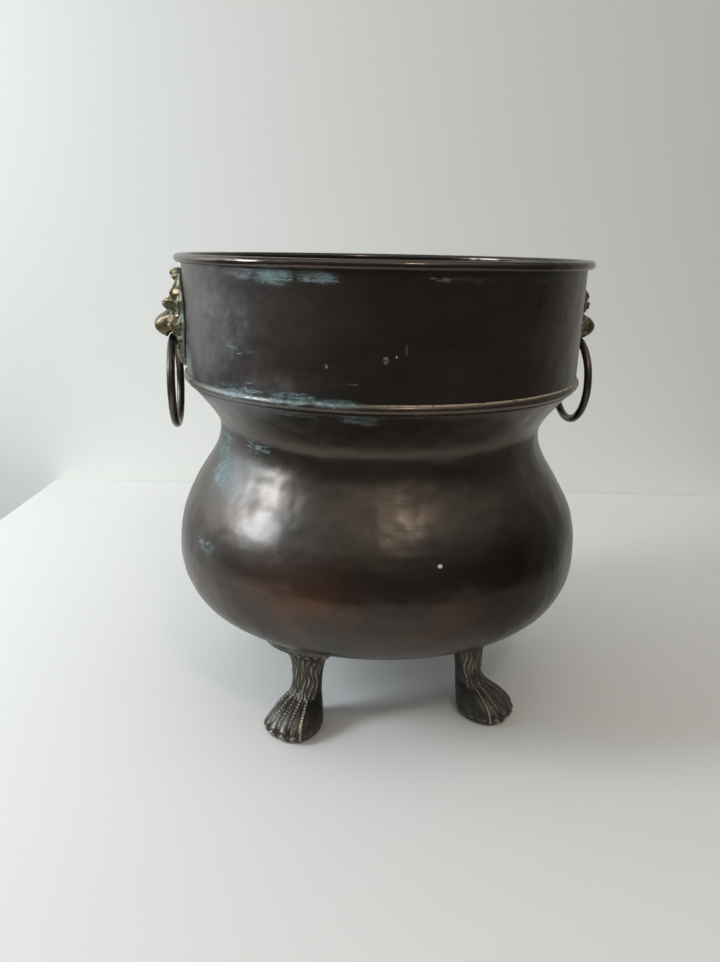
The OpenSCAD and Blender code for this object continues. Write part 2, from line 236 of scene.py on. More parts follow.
wall_tree.links.new(which_side.outputs["Backfacing"], one_sided.inputs["Fac"])
wall_tree.links.new(wall_tree.nodes["Principled BSDF"].outputs[0], one_sided.inputs[1])
wall_tree.links.new(see_through.outputs[0], one_sided.inputs[2])
wall_tree.links.new(one_sided.outputs[0], wall_tree.nodes["Material Output"].inputs["Surface"])
print("table", round(TABLE_RIGHT - TABLE_LEFT, 2), "m wide; wall", WALL_BEHIND, "m behind")

# %% [markdown]
# ## The light
# Two windows on the left and a small warm lamp over the camera: the highlights on the belly
# and the long shadow to the right show where they must be. The rest comes from the ceiling,
# and the room behind the camera is dim. Their levels were found by rendering each alone and
# fitting the sum to the brightness of the table and the wall.

# %% Hang the windows and the lamp
def soft_light(name, bearing, height, distance, width, length, watts, colour):
    """A lit panel that faces the belly, placed by its bearing to the right of the camera."""
    aim = Vector((0, 0, 150 * mm))
    towards = Vector((
        math.sin(bearing) * math.cos(height),
        -math.cos(bearing) * math.cos(height),
        math.sin(height)))
    panel = bpy.data.lights.new(name, "AREA")
    panel.shape = "RECTANGLE"
    panel.size, panel.size_y = width, length
    panel.energy = watts
    panel.color = colour
    light = bpy.data.objects.new(name, panel)
    bpy.context.scene.collection.objects.link(light)
    light.location = aim + room @ (towards * distance)
    light.rotation_mode = "QUATERNION"
    light.rotation_quaternion = (room @ towards).to_track_quat("Z", "Y")
    return light


soft_light("window", math.radians(-74), math.radians(26), 1.3, 0.34, 0.44, 10.8, (0.86, 0.94, 1))
soft_light("far_window", math.radians(-100), math.radians(24), 1.3, 0.4, 0.9, 2.6, (0.9, 0.95, 1))
soft_light("lamp", math.radians(17), math.radians(45), 1.3, 0.12, 0.09, 1.6, (1, 0.84, 0.68))

# %% Light the room from its ceiling
ROOM_GLOW = (0.12, 0.118, 0.115, 1)
CEILING_GLOW = (0.97, 0.955, 0.89, 1)
world = bpy.data.worlds.new("room")
bpy.context.scene.world = world
world.use_nodes = True
sky = world.node_tree
sky.nodes.clear()
looking = sky.nodes.new("ShaderNodeTexCoord")
upward = sky.nodes.new("ShaderNodeSeparateXYZ")
rise = sky.nodes.new("ShaderNodeMapRange")
rise.interpolation_type = "SMOOTHSTEP"
rise.inputs["From Min"].default_value = 0.2
shade = sky.nodes.new("ShaderNodeMix")
shade.data_type = "RGBA"
shade.inputs[6].default_value = ROOM_GLOW
shade.inputs[7].default_value = CEILING_GLOW
glow = sky.nodes.new("ShaderNodeBackground")
out = sky.nodes.new("ShaderNodeOutputWorld")
sky.links.new(looking.outputs["Generated"], upward.inputs[0])
sky.links.new(upward.outputs["Z"], rise.inputs["Value"])
sky.links.new(rise.outputs["Result"], shade.inputs[0])
sky.links.new(shade.outputs[2], glow.inputs["Color"])
sky.links.new(glow.outputs[0], out.inputs["Surface"])
bpy.context.scene.view_settings.view_transform = "Standard"

# %% [markdown]
# ## Finishes, as layers
# Old copper is never one colour. The effects that several finishes share are node groups
# that put out masks and heights: cloudy tones, patches of verdigris that break up into
# flakes, hammer marks, fine scratches, specks of dust, and the rubbed ridges and dirty
# hollows of castings. Each finish has its own shader, with its constants on the shader.

# %% Helpers for node trees
def put(tree, kind, sockets=None, **settings):
    """Adds a node. Sockets are filled by name or number, with a value or with a link."""
    made = tree.nodes.new(kind)
    for name, value in settings.items():
        setattr(made, name, value)
    for key, value in (sockets or {}).items():
        if isinstance(value, bpy.types.NodeSocket):
            tree.links.new(value, made.inputs[key])
        else:
            made.inputs[key].default_value = value
    return made


def sums(tree, operation, *values):
    made = put(tree, "ShaderNodeMath", dict(enumerate(values)), operation=operation)
    return made.outputs[0]


def ramped(tree, value, low, high):
    """0 at low, 1 at high, and a smooth step between."""
    made = put(tree, "ShaderNodeMapRange",
               {"Value": value, "From Min": low, "From Max": high},
               interpolation_type="SMOOTHSTEP")
    return made.outputs["Result"]


def mixed(tree, factor, first, second):
    made = put(tree, "ShaderNodeMix", {0: factor, 6: first, 7: second}, data_type="RGBA")
    return made.outputs[2]


def noise(tree, where, scale, detail=4, roughness=0.55, distortion=0):
    made = put(tree, "ShaderNodeTexNoise", {
        "Vector": where, "Scale": scale, "Detail": detail,
        "Roughness": roughness, "Distortion": distortion})
    return made.outputs["Fac"]


def stretched(tree, where, stretch):
    made = put(tree, "ShaderNodeVectorMath", {0: where, 1: stretch}, operation="MULTIPLY")
    return made.outputs[0]


def place_on_piece(tree):
    return put(tree, "ShaderNodeTexCoord").outputs["Object"]


def new_group(name, inputs, outputs):
    """A shader node group with its sockets: inputs and outputs are (name, kind, value)."""
    group = bpy.data.node_groups.new(name, "ShaderNodeTree")
    for label, kind, value in inputs:
        socket = group.interface.new_socket(label, in_out="INPUT", socket_type="NodeSocket" + kind)
        socket.default_value = value
    for label, kind in outputs:
        group.interface.new_socket(label, in_out="OUTPUT", socket_type="NodeSocket" + kind)
    return group, put(group, "NodeGroupInput").outputs, put(group, "NodeGroupOutput").inputs


def use(tree, group, **values):
    """Places a group in a finish. An underscore in a name stands for a space."""
    sockets = {name.replace("_", " "): value for name, value in values.items()}
    return put(tree, "ShaderNodeGroup", sockets, node_tree=group).outputs


def new_finish(name, gloss=1.85):
    """A material with its shader. The gloss is the index of refraction of its old wax."""
    material = bpy.data.materials.new(name)
    material.use_nodes = True
    shader = material.node_tree.nodes["Principled BSDF"]
    shader.inputs["IOR"].default_value = gloss
    shader.inputs["Specular IOR Level"].default_value = 1.0
    return material, material.node_tree, shader


def bumped(tree, shader, height_mm, strength=1.0):
    """Lets a height, in millimetres, tilt the surface."""
    made = put(tree, "ShaderNodeBump",
               {"Height": height_mm, "Strength": strength, "Distance": 1 * mm})
    tree.links.new(made.outputs["Normal"], shader.inputs["Normal"])


# %% Cloudy tones, hammer marks and turned bands
tones, given, result = new_group(
    "cloudy tones",
    [("Size", "Float", 20.0), ("Stretch", "Vector", (1, 1, 1))],
    [("Broad", "Float"), ("Fine", "Float")])
where = place_on_piece(tones)
drawn = stretched(tones, where, given["Stretch"])
tones.links.new(noise(tones, drawn, given["Size"], 5, 0.6, 0.4), result["Broad"])
fine_size = sums(tones, "MULTIPLY", given["Size"], 14.0)
tones.links.new(noise(tones, drawn, fine_size, 6, 0.65), result["Fine"])

hammered, given, result = new_group(
    "hammer marks",
    [("Size", "Float", 70.0), ("Deep", "Float", 0.25)],
    [("Height", "Float")])
where = place_on_piece(hammered)
blows = put(hammered, "ShaderNodeTexVoronoi",
            {"Vector": where, "Scale": given["Size"], "Smoothness": 0.6},
            feature="SMOOTH_F1")
bowls = sums(hammered, "POWER", blows.outputs["Distance"], 2.0)
rolling = noise(hammered, where, 38.0, 2, 0.5)
bands = noise(hammered, stretched(hammered, where, (6, 6, 90)), 1.0, 3, 0.6)
brushed = noise(hammered, stretched(hammered, where, (90, 90, 900)), 1.0, 3, 0.6)
height = sums(hammered, "MULTIPLY", bowls, given["Deep"])
height = sums(hammered, "MULTIPLY_ADD", rolling, 1.1, height)
height = sums(hammered, "MULTIPLY_ADD", bands, 0.1, height)
height = sums(hammered, "MULTIPLY_ADD", brushed, 0.02, height)
hammered.links.new(height, result["Height"])

# %% Patches that break up into flakes
patch, given, result = new_group(
    "patch",
    [("Middle", "Vector", (0, 0, 0)), ("Reach", "Vector", (0.02, 0.02, 0.02)),
     ("Amount", "Float", 0.5)],
    [("Strength", "Float")])
apart = put(patch, "ShaderNodeVectorMath",
            {0: place_on_piece(patch), 1: given["Middle"]}, operation="SUBTRACT")
share = put(patch, "ShaderNodeVectorMath",
            {0: apart.outputs[0], 1: given["Reach"]}, operation="DIVIDE")
away = put(patch, "ShaderNodeVectorMath", {0: share.outputs[0]}, operation="LENGTH")
inside = ramped(patch, away.outputs["Value"], 1.0, 0.15)
patch.links.new(sums(patch, "MULTIPLY", inside, given["Amount"]), result["Strength"])

flakes, given, result = new_group(
    "flakes",
    [("Strength", "Float", 0.5), ("Grain", "Float", 160.0), ("Soft", "Float", 0.12),
     ("Stretch", "Vector", (1, 1, 2.5))],
    [("Mask", "Float")])
drawn = stretched(flakes, place_on_piece(flakes), given["Stretch"])
ragged = noise(flakes, drawn, given["Grain"], 9, 0.7, 0.5)
broad = noise(flakes, drawn, sums(flakes, "MULTIPLY", given["Grain"], 0.22), 3, 0.6)
broken = sums(flakes, "MULTIPLY_ADD", sums(flakes, "SUBTRACT", broad, 0.5), 0.7, ragged)
level = sums(flakes, "ADD", broken, given["Strength"])
top = sums(flakes, "ADD", given["Soft"], 1.0)
flakes.links.new(ramped(flakes, level, 1.0, top), result["Mask"])

# %% Scratches, dust, and the relief of a casting
scratched, given, result = new_group(
    "fine scratches",
    [("Size", "Float", 26.0), ("Count", "Float", 0.5)],
    [("Mask", "Float")])
where = place_on_piece(scratched)
lines = []
for turn in ((0.3, 0.5, 0.9), (1.1, -0.4, -0.6)):
    laid = put(scratched, "ShaderNodeMapping",
               {"Vector": where, "Rotation": turn, "Scale": (1.0, 22.0, 22.0)})
    streak = noise(scratched, laid.outputs[0], given["Size"], 2, 0.5)
    lines.append(ramped(scratched, streak, 0.70, 0.76))
both = sums(scratched, "MAXIMUM", *lines)
areas = ramped(scratched, noise(scratched, where, 30.0, 2), 0.45, 0.7)
seen = sums(scratched, "MULTIPLY", both, areas)
scratched.links.new(sums(scratched, "MULTIPLY", seen, given["Count"]), result["Mask"])

dusty, given, result = new_group(
    "dust specks",
    [("Size", "Float", 180.0), ("Share", "Float", 0.1)],
    [("Mask", "Float")])
cells = put(dusty, "ShaderNodeTexVoronoi",
            {"Vector": place_on_piece(dusty), "Scale": given["Size"]})
picked = put(dusty, "ShaderNodeSeparateColor", {0: cells.outputs["Color"]})
speck_size = sums(dusty, "MULTIPLY", picked.outputs[1], 0.11)
dot = ramped(dusty, cells.outputs["Distance"], speck_size, 0.0)
kept = sums(dusty, "LESS_THAN", picked.outputs[0], given["Share"])
dusty.links.new(sums(dusty, "MULTIPLY", dot, kept), result["Mask"])

relief, given, result = new_group(
    "ridges and hollows",
    [("Step", "Float", 0.35), ("Grain", "Float", 300.0)],
    [("Ridges", "Float"), ("Hollows", "Float")])
stands = put(relief, "ShaderNodeAttribute", attribute_name="above").outputs["Fac"]
grain = noise(relief, place_on_piece(relief), given["Grain"], 5)
unsure = sums(relief, "MULTIPLY", sums(relief, "SUBTRACT", grain, 0.5), given["Step"])
level = sums(relief, "ADD", stands, unsure)
low_step = sums(relief, "MULTIPLY", given["Step"], 0.15)
relief.links.new(ramped(relief, level, low_step, given["Step"]), result["Ridges"])
sunk = sums(relief, "MULTIPLY", level, -1.0)
relief.links.new(ramped(relief, sunk, low_step, given["Step"]), result["Hollows"])
print("effects:", [g.name for g in bpy.data.node_groups])

# %% [markdown]
# ## Finish: old copper sheet
# The sheet is dark umber under old wax, redder low on the belly, olive at the right and darker
# towards the bottom, with painted shade on the right of the belly. At the left it is grey with
# haze, and a painted grey-blue reflection of the window lies over that haze. Blue-green verdigris
# sits where damp sat: under the rim, along the bead and on the left of the neck, and the small
# dents carry a painted pale glint. A finish half metal and half wax gives both the brown glow and
# the cool highlight. Patches are placed by their middles on the real vessel, in millimetres,
# and the vessel behind, which no photograph shows, wears a few of the same kind.

# %% Places of the patches: middle, reach and amount
VERDIGRIS_PLACES = [
    ((-88, -90, 288), (36, 30, 9), 0.64), ((-71, -104, 287), (34, 28, 11), 0.78),
    ((-51, -115, 287), (32, 24, 10), 0.76), ((-26, -122, 288), (30, 18, 6), 0.5),
    ((20, -124, 287), (60, 20, 5), 0.56), ((78, -100, 287), (54, 44, 5), 0.57),
    ((-90, -87, 227), (60, 56, 13), 0.7), ((-64, -108, 226), (44, 32, 9), 0.74),
    ((-40, -119, 225), (36, 22, 6), 0.76), ((-29, -118, 216), (34, 20, 9), 0.66),
    ((-60, -103, 217), (46, 30, 6), 0.58), ((-102, -30, 185), (26, 38, 34), 0.72),
    ((-104, -45, 168), (30, 38, 30), 0.74), ((-83, -65, 190), (34, 34, 14), 0.64),
    ((-37, -120, 235), (34, 16, 4), 0.58), ((-110, -62, 262), (22, 36, 30), 0.5),
    ((-114, -70, 132), (24, 34, 30), 0.62), ((-120, -52, 110), (22, 34, 18), 0.52),
    ((70, 100, 286), (60, 50, 10), 0.66), ((96, 60, 227), (46, 56, 7), 0.64),
    ((20, 108, 196), (50, 24, 14), 0.56), ((-90, 80, 286), (34, 34, 9), 0.6),
    ((-104, -68, 266), (14, 16, 8), 0.64), ((-114, -54, 269), (18, 18, 4), 0.64),
    ((-88, -87, 249), (34, 28, 14), 0.55)]
# Grey-blue haze: in part a real film, in part the window's painted reflection on the left side.
HAZE_AND_REFLECTION_PLACES = [
    ((-104, -66, 256), (84, 92, 70), 0.8), ((-104, -60, 176), (54, 70, 44), 0.9),
    ((-114, -73, 128), (36, 50, 28), 0.6), ((-74, -98, 232), (60, 54, 18), 0.7),
    ((-80, -102, 142), (62, 56, 34), 0.5), ((-66, -104, 264), (58, 44, 44), 0.45),
    ((-96, -84, 222), (60, 70, 12), 0.95),
    ((-44, -126, 90), (70, 30, 16), 0.4), ((90, 84, 240), (70, 60, 60), 0.6),
    ((-60, 100, 150), (60, 50, 40), 0.6)]
RED_PLACES = [
    ((-48, -122, 121), (84, 64, 32), 1.0), ((0, -124, 112), (80, 60, 28), 0.9),
    ((-60, -104, 250), (60, 44, 34), 0.32), ((30, 125, 100), (90, 50, 40), 0.8)]
# Darker towards the bottom, and painted shade on the right of the belly, turned from the window.
LOW_DARK_AND_SHADE_PLACES = [((0, 0, 40), (230, 230, 78), 1.0), ((76, -104, 112), (96, 80, 66), 0.8)]
OLIVE_PLACES = [
    ((116, -56, 150), (50, 70, 54), 0.9), ((96, -78, 262), (50, 60, 50), 0.8),
    ((-40, -96, 196), (90, 60, 14), 0.8), ((50, -92, 192), (70, 50, 12), 0.7),
    ((-110, 60, 150), (40, 60, 50), 0.6)]
# Small dents: each is pressed in by a bump and carries a painted pale glint.
DENT_AND_GLINT_PLACES = [
    ((-17, -124.5, 248), (2.2, 4, 2.4), 1.0), ((-7, -125.5, 253), (1, 3, 4), 0.9),
    ((-46, -116, 244), (1.4, 3, 1.4), 0.8), ((-12, -125, 250), (0.8, 3, 1), 1.0)]
LIME_SPOT = [((15, -130, 138), (2.2, 6, 1.7), 1.0)]
CREASE_PLACES = [((-74, -86, 166), (60, 56, 10), 1.0)]


def gathered(tree, places):
    """The strongest of several patches, given in millimetres."""
    strongest = 0.0
    for middle, reach, amount in places:
        made = use(tree, patch, Middle=[v * mm for v in middle],
                   Reach=[v * mm for v in reach], Amount=amount)
        strongest = sums(tree, "MAXIMUM", made["Strength"], strongest)
    return strongest


# %% Mix the copper sheet
VERDIGRIS = srgb(70, 111, 113)
PALE_VERDIGRIS = srgb(116, 149, 153)
# Colour of the haze and of the window's painted grey-blue reflection.
HAZE_AND_REFLECTION = srgb(108, 112, 114)
RED_BROWN = srgb(90, 52, 30)
# Colour of the darkening towards the bottom and of the painted shade on the right of the belly.
LOW_DARK_AND_SHADE = srgb(34, 28, 25)
OLIVE = srgb(72, 64, 44)
SCRATCH = srgb(138, 118, 100)
# Pale colour of the dust specks and of the painted glint on the dents.
DUST_AND_GLINT = srgb(170, 168, 160)
LIME = srgb(214, 208, 190)
SOLDER = srgb(188, 174, 144)


def copper(name, dark, light, rub=0.0, solder_at=None, polish_from=None):
    """Old copper. The bead is rubbed brighter, and shows its solder along its upper edge."""
    material, tree, shader = new_finish(name)
    cloud = use(tree, tones, Size=13.0, Stretch=(1, 1, 1.6))
    broad, fine = cloud["Broad"], cloud["Fine"]
    colour = mixed(tree, ramped(tree, broad, 0.32, 0.68), dark, light)
    red = sums(tree, "MULTIPLY", gathered(tree, RED_PLACES), ramped(tree, broad, 0.3, 0.62))
    colour = mixed(tree, sums(tree, "MULTIPLY", red, 0.9), colour, RED_BROWN)
    olive = sums(tree, "MULTIPLY", gathered(tree, OLIVE_PLACES), ramped(tree, fine, 0.2, 0.7))
    colour = mixed(tree, sums(tree, "MULTIPLY", olive, 0.7), colour, OLIVE)
    # Darker towards the bottom, and painted shade on the right of the belly.
    low_dark_and_shade = gathered(tree, LOW_DARK_AND_SHADE_PLACES)
    colour = mixed(tree, low_dark_and_shade, colour, LOW_DARK_AND_SHADE)
    # Grey-blue haze, partly a film and partly the window's painted reflection.
    haze_and_reflection_where = gathered(tree, HAZE_AND_REFLECTION_PLACES)
    mottled = use(tree, flakes, Strength=haze_and_reflection_where, Grain=120.0, Soft=0.5,
                  Stretch=(1.5, 1, 1))["Mask"]
    haze_and_reflection = sums(tree, "MULTIPLY", haze_and_reflection_where, sums(tree, "MULTIPLY_ADD", mottled, 0.6, 0.4))
    colour = mixed(tree, sums(tree, "MULTIPLY", haze_and_reflection, 0.6), colour, HAZE_AND_REFLECTION)
    marks = use(tree, scratched, Size=26.0, Count=0.5)["Mask"]
    colour = mixed(tree, sums(tree, "MULTIPLY", marks, 0.35), colour, SCRATCH)
    green_where = gathered(tree, VERDIGRIS_PLACES)
    veil = use(tree, flakes, Strength=green_where, Grain=60.0, Soft=0.55,
               Stretch=(1, 1, 3.5))["Mask"]
    flaked = use(tree, flakes, Strength=sums(tree, "SUBTRACT", green_where, 0.12), Grain=260.0,
                 Soft=0.26, Stretch=(1, 1, 3))["Mask"]
    teal = mixed(tree, ramped(tree, fine, 0.42, 0.62), VERDIGRIS, PALE_VERDIGRIS)
    thin = sums(tree, "MULTIPLY", veil, 0.45)
    green = sums(tree, "MAXIMUM", thin, sums(tree, "MULTIPLY", flaked, 0.8))
    colour = mixed(tree, green, colour, teal)
    # Dust specks, and a painted pale glint on the small dents.
    dents_and_glint = gathered(tree, DENT_AND_GLINT_PLACES)
    dust = use(tree, dusty, Size=150.0, Share=0.11)["Mask"]
    dent_glint = sums(tree, "MULTIPLY", dents_and_glint, 0.45)
    dust_and_glint = sums(tree, "MAXIMUM", sums(tree, "MULTIPLY", dust, 0.5), dent_glint)
    colour = mixed(tree, dust_and_glint, colour, DUST_AND_GLINT)
    lime = ramped(tree, gathered(tree, LIME_SPOT), 0.3, 0.5)
    colour = mixed(tree, lime, colour, LIME)
    crust = sums(tree, "MAXIMUM", green, lime)
    dirt = sums(tree, "MAXIMUM", crust, sums(tree, "MULTIPLY", haze_and_reflection, 0.35))
    split = put(tree, "ShaderNodeSeparateXYZ", {0: place_on_piece(tree)}).outputs
    height = split["Z"]
    if solder_at:
        seam = ramped(tree, height, solder_at - 0.9 * mm, solder_at - 0.4 * mm)
        bright = sums(tree, "MULTIPLY", seam, ramped(tree, split["X"], -40 * mm, 10 * mm))
        solder = sums(tree, "MULTIPLY", bright, ramped(tree, fine, 0.36, 0.5))
        colour = mixed(tree, sums(tree, "MULTIPLY", solder, 0.8), colour, SOLDER)
        dirt = sums(tree, "MAXIMUM", dirt, solder)
    tree.links.new(colour, shader.inputs["Base Color"])
    sheen = sums(tree, "MULTIPLY_ADD", broad, 0.14, 0.19 - rub)
    rough = sums(tree, "MULTIPLY_ADD", fine, 0.08, sheen)
    if polish_from:
        polished = ramped(tree, height, polish_from, polish_from + 1 * mm)
        rough = sums(tree, "MULTIPLY_ADD", polished, -0.12, rough)
    tree.links.new(sums(tree, "MULTIPLY_ADD", dirt, 0.6, rough), shader.inputs["Roughness"])
    bare = sums(tree, "MULTIPLY_ADD", low_dark_and_shade, 0.18, 0.8)
    tree.links.new(sums(tree, "MULTIPLY_ADD", dirt, -0.7, bare), shader.inputs["Metallic"])
    height = use(tree, hammered, Size=75.0, Deep=0.3)["Height"]
    height = sums(tree, "MULTIPLY_ADD", dents_and_glint, -0.5, height)
    height = sums(tree, "MULTIPLY_ADD", gathered(tree, CREASE_PLACES), -0.42, height)
    bumped(tree, shader, sums(tree, "MULTIPLY_ADD", green, 0.12, height))
    return material


bead_low, bead_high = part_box("seam_bead")
finish_sheet = copper("old_copper_sheet", srgb(49, 41, 34), srgb(70, 58, 47))
finish_collar = copper("old_copper_collar", srgb(46, 39, 34), srgb(70, 55, 44),
                       polish_from=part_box("collar")[1].z - 5 * mm)
finish_bead = copper("rubbed_copper_bead", srgb(66, 55, 47), srgb(96, 80, 66), 0.05, bead_high.z)

# %% [markdown]
# ## The bowl
# A raised bowl is one skin of even thickness. So its outline is taken off the solids with
# rays, drawn as a chain of extruded points and spun, then dented a little, and only then
# given the sheet's thickness: both faces of a real dent move together.

# %% Take the outline off the solids and spin it
SHEET = 1.0 * mm
AROUND = 192
CLEAR_BEARING = math.radians(20)
clear_way = Vector((math.cos(CLEAR_BEARING), math.sin(CLEAR_BEARING), 0))


def shell_of(piece):
    """A piece's faces, ready to be felt with rays."""
    places = [point.co for point in piece.data.vertices]
    return BVHTree.FromPolygons(places, [face.vertices for face in piece.data.polygons])


shells = {node: shell_of(solids[node]) for node in ("bowl", "shoulder", "collar")}


def radius_at(node, height):
    """How far out a solid reaches at a height, felt with a ray from outside."""
    start = clear_way + Vector((0, 0, height))
    return shells[node].ray_cast(start, -clear_way)[0].xy.length


def underside_at(node, radius):
    start = clear_way * radius - Vector((0, 0, 1))
    return shells[node].ray_cast(start, Vector((0, 0, 1)))[0].z


def spun(name, places, middle=(0, 0, 0), axis=(0, 0, 1), around=AROUND):
    """Extrudes a point along a line of places, and spins the line round an axis."""
    bpy.ops.object.select_all(action="DESELECT")
    bpy.ops.mesh.primitive_plane_add(size=1 * mm)
    bpy.ops.object.mode_set(mode="EDIT")
    bpy.ops.mesh.select_all(action="SELECT")
    bpy.ops.mesh.merge(type="CENTER")
    bpy.ops.transform.translate(value=places[0])
    for start, end in zip(places, places[1:]):
        way = tuple(b - a for a, b in zip(start, end))
        bpy.ops.mesh.extrude_region_move(TRANSFORM_OT_translate={"value": way})
    bpy.ops.mesh.select_all(action="SELECT")
    bpy.ops.mesh.spin(steps=around, angle=2 * math.pi, center=middle, axis=axis)
    bpy.ops.mesh.select_all(action="SELECT")
    bpy.ops.mesh.remove_doubles(threshold=0.01 * mm)
    bpy.ops.mesh.normals_make_consistent(inside=False)
    bpy.ops.object.mode_set(mode="OBJECT")
    return settle(named(name))


bowl_low, bowl_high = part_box("bowl")
shoulder_low, shoulder_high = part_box("shoulder")
collar_low, collar_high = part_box("collar")
TURN_R = 108 * mm
bottom = [(0, 0, bowl_low.z)]
bottom += [(r, 0, underside_at("bowl", r)) for r in steps(6 * mm, TURN_R, 17)]
side = [(radius_at("bowl", z), 0, z)
        for z in steps(bottom[-1][2] + 1.5 * mm, bowl_high.z - 1 * mm, 20)]
neck = [(radius_at("shoulder", z), 0, z)
        for z in steps(shoulder_low.z + 1 * mm, collar_low.z - 0.4 * mm, 52)]
lip_r = radius_at("shoulder", shoulder_high.z - 1 * mm)
lip = [(lip_r, 0, collar_low.z), (lip_r, 0, shoulder_high.z)]
bowl_line = bottom + side + neck + lip
bowl_skin = spun("bowl_sheet", bowl_line)
print("bowl line:", len(bowl_line), "points; widest radius in mm:",
      round(max(place[0] for place in bowl_line) / mm, 2))

# %% Dent it, and give the sheet its thickness
BELLY_BAND = (70 * mm, 92 * mm, 176 * mm, 200 * mm)


def band_weight(z, band):
    """1 in the middle of a band of heights, and a smooth fall to 0 at its ends."""
    foot, low, high, top = band
    rise = min(max((z - foot) / (low - foot), 0), 1)
    fall = min(max((top - z) / (top - high), 0), 1)
    t = min(rise, fall)
    return t * t * (3 - 2 * t)


def dent(piece, name, size, depth, band):
    """Pushes a skin inwards in soft, cloudy dents, only within a band of heights."""
    cloud = bpy.data.textures.new(name, "CLOUDS")
    cloud.noise_scale = size
    cloud.noise_depth = 1
    group = piece.vertex_groups.new(name=name)
    for point in piece.data.vertices:
        group.add([point.index], band_weight(point.co.z, band), "REPLACE")
    work(piece, "DISPLACE", texture=cloud, texture_coords="LOCAL", direction="NORMAL",
         mid_level=0, strength=-depth, vertex_group=name)


dent(bowl_skin, "broad dents", 45 * mm, 1.3 * mm, BELLY_BAND)
dent(bowl_skin, "small dents", 15 * mm, 0.55 * mm, BELLY_BAND)
work(bowl_skin, "SOLIDIFY", thickness=SHEET, offset=-1)
painted(smooth(bowl_skin), finish_sheet)
stands_for(bowl_skin, "vessel", "copper_sheet", "bowl", "shoulder")

# %% [markdown]
# ## The collar
# The collar's sheet runs up inside the rim's wire, over it and back under it. Drawn from its
# inner face and spun, it gets its thickness towards the outside, and the wire of the solids
# lies in the roll as it does in the real one.

# %% Roll the collar's edge
wire_low, wire_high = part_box("rim_wire")
wire_r = (wire_high.z - wire_low.z) / 2
rim_z = (wire_high.z + wire_low.z) / 2
roll_mid = wire_high.x - wire_r
roll_r = collar_high.z - rim_z
ROLL_STEPS = 22
ROLL_TURN = math.radians(-125)
wall_foot = radius_at("collar", collar_low.z + 0.5 * mm) - SHEET
inner = [(wall_foot + (roll_mid - roll_r - wall_foot) * t, 0, collar_low.z + (rim_z - collar_low.z) * t)
         for t in steps(0, 1, 30)]
roll = [(roll_mid + roll_r * math.cos(a), 0, rim_z + roll_r * math.sin(a))
        for a in steps(math.pi, ROLL_TURN, ROLL_STEPS)][1:]
collar_skin = spun("collar_sheet", inner + roll)
print("rim in mm:", round(2 * (roll_mid + roll_r) / mm, 2), "over the roll")

# %% Turn its faces to the vessel's inside, and thicken it outwards
first = collar_skin.data.polygons[0]
if first.normal.xy.dot(first.center.xy) > 0:
    bpy.ops.object.mode_set(mode="EDIT")
    bpy.ops.mesh.select_all(action="SELECT")
    bpy.ops.mesh.flip_normals()
    bpy.ops.object.mode_set(mode="OBJECT")
work(collar_skin, "SOLIDIFY", thickness=SHEET, offset=-1)
painted(smooth(collar_skin), finish_collar)
stands_for(collar_skin, "vessel", "copper_sheet", "collar")

# %% [markdown]
# ## The lion masks
# Each mask is one brass casting. A copy of the solid already has the right profile, so it is
# remeshed into fine even clay and rubbed smooth. Then locks of hair are laid on it as round
# strands that follow the surface, the way a modeller lays rolls of wax on a pattern. The
# whole is remeshed again, so that strands and face become one skin, and the nostrils, the
# pupils, the way of the ring, its bed when it is lifted, and the fit to the wall are cut last.

# %% Fine clay, and strands that follow a surface
CLAY = 0.45 * mm


def copy_of(node, name):
    """A merged copy of a solid's mesh. The solid itself is left alone."""
    take(solids[node])
    bpy.ops.object.duplicate()
    made = named(name)
    made.rotation_mode = "XYZ"
    bpy.ops.object.mode_set(mode="EDIT")
    bpy.ops.mesh.select_all(action="SELECT")
    bpy.ops.mesh.remove_doubles(threshold=0.001 * mm)
    bpy.ops.object.mode_set(mode="OBJECT")
    return settle(made)


def as_clay(piece, rubs):
    """Remeshes a piece into small even faces, and rubs it smooth."""
    work(piece, "REMESH", mode="VOXEL", voxel_size=CLAY)
    return work(piece, "SMOOTH", factor=0.5, iterations=rubs)


def strands(name, lines):
    """Round strands through lists of (place, radius)."""
    bpy.ops.object.select_all(action="DESELECT")
    bpy.ops.curve.primitive_nurbs_path_add()
    made = named(name)
    made.data.splines.clear()
    made.data.bevel_depth = 1
    made.data.bevel_resolution = 2
    made.data.use_fill_caps = True
    for line in lines:
        spline = made.data.splines.new("POLY")
        spline.points.add(len(line) - 1)
        for point, (place, radius) in zip(spline.points, line):
            point.co = (*place, 1)
            point.radius = radius
    take(made)
    bpy.ops.object.convert(target="MESH")
    return settle(named(name))


def feel_relief(piece, rubs=30):
    """Stores how far each point stands above a rubbed copy of its piece, in millimetres."""
    take(piece)
    bpy.ops.object.duplicate()
    soft = work(bpy.context.object, "SMOOTH", factor=1, iterations=rubs)
    above = piece.data.attributes.new("above", "FLOAT", "POINT")
    for point, level in zip(piece.data.vertices, soft.data.vertices):
        above.data[point.index].value = (point.co - level.co).dot(point.normal) / mm
    bpy.data.objects.remove(soft)
    return piece


# %% Feel where the mask's surface is
ring_low, ring_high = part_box("left_ring")
mask_low, mask_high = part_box("left_mask")
solid_rod_r = (ring_high.x - ring_low.x) / 2
rod_r = solid_rod_r + 0.55 * mm
ring_r = (ring_high.z - ring_low.z) / 2 - solid_rod_r
mouth = Vector(((ring_high.x + ring_low.x) / 2, 0, ring_high.z - solid_rod_r))
wall_at_mouth = radius_at("collar", mouth.z)
mask = as_clay(copy_of("left_mask", "left_lion_mask"), 14)


def on_mask(beside, above):
    """The mask's surface at a place beside and above the mouth, in millimetres of wall."""
    bearing = beside * mm / wall_at_mouth
    way = Vector((-math.cos(bearing), math.sin(bearing), 0))
    start = way * 0.2 + Vector((0, 0, mouth.z + above * mm))
    found, where, _, _ = mask.ray_cast(start, -way)
    return where if found else way * wall_at_mouth + Vector((0, 0, start.z))


